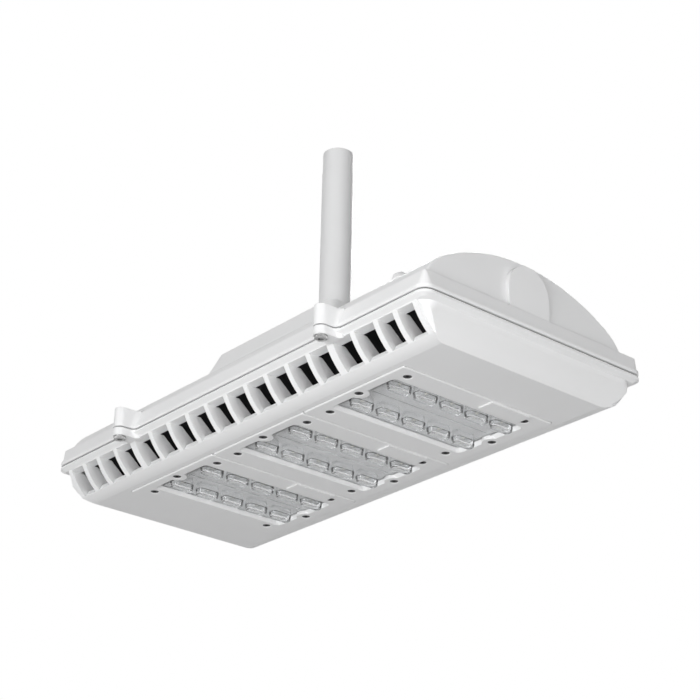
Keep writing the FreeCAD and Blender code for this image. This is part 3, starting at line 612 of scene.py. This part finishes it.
forward = Vector((
    -math.sin(camera_azimuth) * math.cos(camera_elevation),
    math.cos(camera_azimuth) * math.cos(camera_elevation),
    math.sin(camera_elevation),
))
level = forward.cross(Vector((0, 0, 1))).normalized()
upright = level.cross(forward)
right = level * math.cos(camera_roll) + upright * math.sin(camera_roll)
up = upright * math.cos(camera_roll) - level * math.sin(camera_roll)
turn_to_view = Matrix((right, up, -forward)).transposed().to_4x4()
camera = bpy.data.objects.new("camera", bpy.data.cameras.new("camera"))
camera.data.sensor_width = sensor_width
camera.data.lens = focal_pixels * sensor_width / image_pixels
camera.data.clip_start = 0.05
camera.data.clip_end = 50.0
camera.matrix_world = Matrix.Translation(camera_place) @ turn_to_view
scene.collection.objects.link(camera)
scene.camera = camera


# Studio: pale floor, white surroundings for what the camera sees, soft lamps

white_light = (1, 1, 1, 1)
floor_height = -1.75
floor_half_size = 8.0
floor_glow = 0.4
ambient_strength = 0.05
seen_strength = 1.0
lamp_target = Vector((0.0, 0.0, -0.24))


def looked_at(tree):
    """One for rays from the camera, straight or by way of gloss and glass alone, else zero."""
    rays = tree.nodes.new("ShaderNodeLightPath")
    found = rays.outputs["Is Camera Ray"]
    for kind in ("Is Glossy Ray", "Is Transmission Ray"):
        found = combine(tree, "MAXIMUM", found, rays.outputs[kind])
    no_diffuse = combine(tree, "LESS_THAN", rays.outputs["Diffuse Depth"], 0.5)
    return combine(tree, "MULTIPLY", found, no_diffuse)


def studio_floor():
    """Pale floor below the camera, which looks bright to it and keeps the object's shadow."""
    mesh = bpy.data.meshes.new("studio_floor")
    shape = bmesh.new()
    bmesh.ops.create_grid(shape, x_segments=8, y_segments=8, size=floor_half_size)
    shape.to_mesh(mesh)
    shape.free()
    floor = bpy.data.objects.new("studio_floor", mesh)
    floor.location.z = floor_height
    scene.collection.objects.link(floor)
    material, tree, shader = new_material("studio_floor")
    tone = ramp(tree, noise(tree, 3.0, gloss_detail), grey(0.90), grey(0.93))
    tree.links.new(tone, shader.inputs["Base Color"])
    shader.inputs["Roughness"].default_value = 0.8
    shader.inputs["Emission Color"].default_value = white_light
    glow = combine(tree, "MULTIPLY", looked_at(tree), floor_glow)
    tree.links.new(glow, shader.inputs["Emission Strength"])
    floor.data.materials.append(material)


def background(tree, strength):
    """White background shader of a strength."""
    node = tree.nodes.new("ShaderNodeBackground")
    node.inputs["Color"].default_value = white_light
    node.inputs["Strength"].default_value = strength
    return node.outputs["Background"]


def surroundings():
    """World that looks white to the camera and lights the object softly."""
    world = bpy.data.worlds.new("studio")
    scene.world = world
    world.use_nodes = True
    tree = world.node_tree
    tree.nodes.clear()
    output = tree.nodes.new("ShaderNodeOutputWorld")
    mix = tree.nodes.new("ShaderNodeMixShader")
    tree.links.new(looked_at(tree), mix.inputs["Fac"])
    tree.links.new(background(tree, ambient_strength), mix.inputs[1])
    tree.links.new(background(tree, seen_strength), mix.inputs[2])
    tree.links.new(mix.outputs["Shader"], output.inputs["Surface"])


def lamp(name, place, size, power):
    """Square soft lamp aimed at the light, with its size in metres and its power in watts."""
    light = bpy.data.lights.new(name, "AREA")
    light.shape = "SQUARE"
    light.size = size
    light.energy = power
    item = bpy.data.objects.new(name, light)
    item.location = place
    item.rotation_euler = (lamp_target - Vector(place)).to_track_quat("-Z", "Y").to_euler()
    scene.collection.objects.link(item)


studio_floor()
surroundings()
lamp("key_lamp", (0.6, -1.2, -0.68), 0.6, 9.8)
lamp("front_lamp", (-0.1, -2.2, -0.25), 1.2, 14.8)
lamp("low_end_lamp", (1.2, -0.2, -0.75), 0.6, 2.6)
lamp("end_lamp", (1.6, -0.3, -0.3), 0.8, 4.3)
lamp("high_end_lamp", (2.2, -0.4, 0.6), 1.2, 5.6)
lamp("top_lamp", (0.4, 0.2, 2.4), 1.6, 2.4)
lamp("back_lamp", (-1.2, 1.6, 1.4), 1.2, 46.0)
